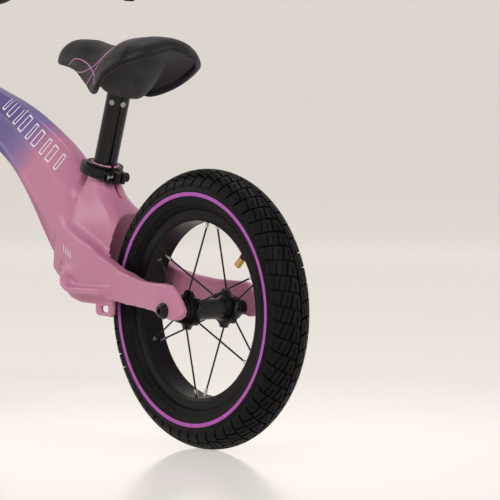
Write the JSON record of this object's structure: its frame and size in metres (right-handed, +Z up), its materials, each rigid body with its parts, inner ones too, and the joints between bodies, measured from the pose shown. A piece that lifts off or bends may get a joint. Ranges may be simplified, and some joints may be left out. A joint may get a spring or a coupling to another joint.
{
  "type": "balance bike",
  "caption": "Child's balance bike: one-piece cast frame with foot ledges, spoked pneumatic wheels, turning fork with handlebar, and clamped sliding seat post.",
  "frame": {"origin": "on the floor, midway between the two wheels and on the centre plane", "axes": "+X forward, +Y to the rider's left, +Z up"},
  "size_m": [0.89, 0.4402, 0.5761],
  "materials": {
    "frame_paint": "satin",
    "fork_paint": "satin",
    "black_gloss": "gloss",
    "black_satin": "satin",
    "tyre_rubber": "matte",
    "tube_rubber": "matte",
    "rim_black": "satin",
    "spoke_black": "satin",
    "nipple_steel": "gloss",
    "hub_black": "gloss",
    "bare_steel": "satin",
    "valve_brass": "gloss",
    "cover": "satin",
    "base_plastic": "matte",
    "grip_rubber": "matte"
  },
  "bodies": {
    "frame_body": {"frame": "frame_paint", "headset_bearings": "bare_steel", "seat_clamp_collar": "black_satin", "seat_clamp_skewer": "bare_steel", "seat_clamp_nut": "black_satin", "rear_axle": "bare_steel", "rear_axle_spacers": "hub_black", "rear_axle_bolts": "black_gloss"},
    "rear_wheel": {"rear_tyre": "tyre_rubber", "rear_inner_tube": "tube_rubber", "rear_rim": "rim_black", "rear_spokes": "spoke_black", "rear_nipples": "nipple_steel", "rear_hub_shell": "hub_black", "rear_bearings": "bare_steel", "rear_valve_foot": "tube_rubber", "rear_valve_thread": "valve_brass"},
    "fork_body": {"fork": "fork_paint", "steerer": "bare_steel", "headset_rings": "black_satin", "bar_clamp_collar": "black_satin", "bar_clamp_skewer": "bare_steel", "bar_clamp_nut": "black_satin", "front_axle": "bare_steel", "front_axle_spacers": "hub_black", "front_axle_bolts": "black_gloss"},
    "front_wheel": {"front_tyre": "tyre_rubber", "front_inner_tube": "tube_rubber", "front_rim": "rim_black", "front_spokes": "spoke_black", "front_nipples": "nipple_steel", "front_hub_shell": "hub_black", "front_bearings": "bare_steel", "front_valve_foot": "tube_rubber", "front_valve_thread": "valve_brass"},
    "bar_body": {"bar_post": "black_gloss", "bar_face": "black_gloss", "bar_bolts": "bare_steel", "handlebar": "black_gloss", "left_grip": "grip_rubber", "right_grip": "grip_rubber"},
    "seat_body": {"seat_post": "black_gloss", "saddle_base": "base_plastic", "saddle_cover": "cover", "saddle_screws": "bare_steel"},
    "seat_lever": {"seat_clamp_lever": "black_satin"},
    "bar_lever": {"bar_clamp_lever": "black_satin"}
  },
  "joints": [
    {"name": "rear_wheel_spin", "type": "hinge", "parent": "frame_body", "child": "rear_wheel", "pos_m": [-0.293, 0, 0.152], "axis": [0, 1, 0], "continuous": true},
    {"name": "steering", "type": "hinge", "parent": "frame_body", "child": "fork_body", "pos_m": [0.20325, 0, 0.38938], "axis": [-0.309, 0, 0.9511], "range_deg": [-60, 60]},
    {"name": "front_wheel_spin", "type": "hinge", "parent": "fork_body", "child": "front_wheel", "pos_m": [0.293, 0, 0.152], "axis": [0, 1, 0], "continuous": true},
    {"name": "bar_height", "type": "slide", "parent": "fork_body", "child": "bar_body", "axis": [-0.309, 0, 0.9511], "range_m": [-0.03, 0.025]},
    {"name": "seat_height", "type": "slide", "parent": "frame_body", "child": "seat_body", "axis": [-0.3206, 0, 0.9472], "range_m": [-0.04, 0.01]},
    {"name": "seat_lever_swing", "type": "hinge", "parent": "frame_body", "child": "seat_lever", "pos_m": [-0.13404, 0.0138, 0.29683], "axis": [-0.3206, 0, 0.9472], "range_deg": [0, 150]},
    {"name": "bar_lever_swing", "type": "hinge", "parent": "fork_body", "child": "bar_lever", "pos_m": [0.1573, 0.0138, 0.447], "axis": [-0.309, 0, 0.9511], "range_deg": [0, 150]}
  ]
}
